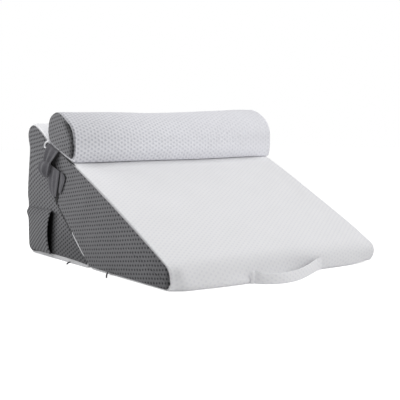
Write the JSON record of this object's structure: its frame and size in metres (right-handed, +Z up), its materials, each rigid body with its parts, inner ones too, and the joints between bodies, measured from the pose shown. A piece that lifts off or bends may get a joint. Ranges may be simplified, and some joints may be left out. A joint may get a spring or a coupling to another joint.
{
  "type": "wedge pillow",
  "caption": "Bed wedge pillow set: front wedge and rear wedge cushions with a roll cushion tied near the top, white knit covers with grey knit sides, a side pocket and a carry strap.",
  "frame": {"origin": "middle of the set's box on the surface that it stands on", "axes": "+Z up, -Y towards the low nose that has the carry strap, +X to the right of someone who looks from the nose to the back"},
  "size_m": [0.6319, 0.6859, 0.3703],
  "materials": {
    "white_knit": "soft dotted jacquard knit",
    "grey_knit": "soft dotted jacquard knit",
    "tie_cloth": "fine plain knit, creased",
    "tab": "dark woven tape"
  },
  "bodies": {
    "root": {"front_cushion": "white_knit", "rear_cushion": "white_knit", "roll_cushion": "white_knit", "carry_strap": "white_knit", "front_side_left": "grey_knit", "front_side_right": "grey_knit", "rear_side_left": "grey_knit", "rear_side_right": "grey_knit", "roll_end_left": "grey_knit", "roll_end_right": "grey_knit", "side_pocket": "grey_knit", "tie_band": "tie_cloth", "tie_knot": "tie_cloth", "tie_long_end": "tie_cloth", "tie_short_end": "tie_cloth", "pull_tab_front": "tab", "pull_tab_rear": "tab"}
  },
  "joints": []
}
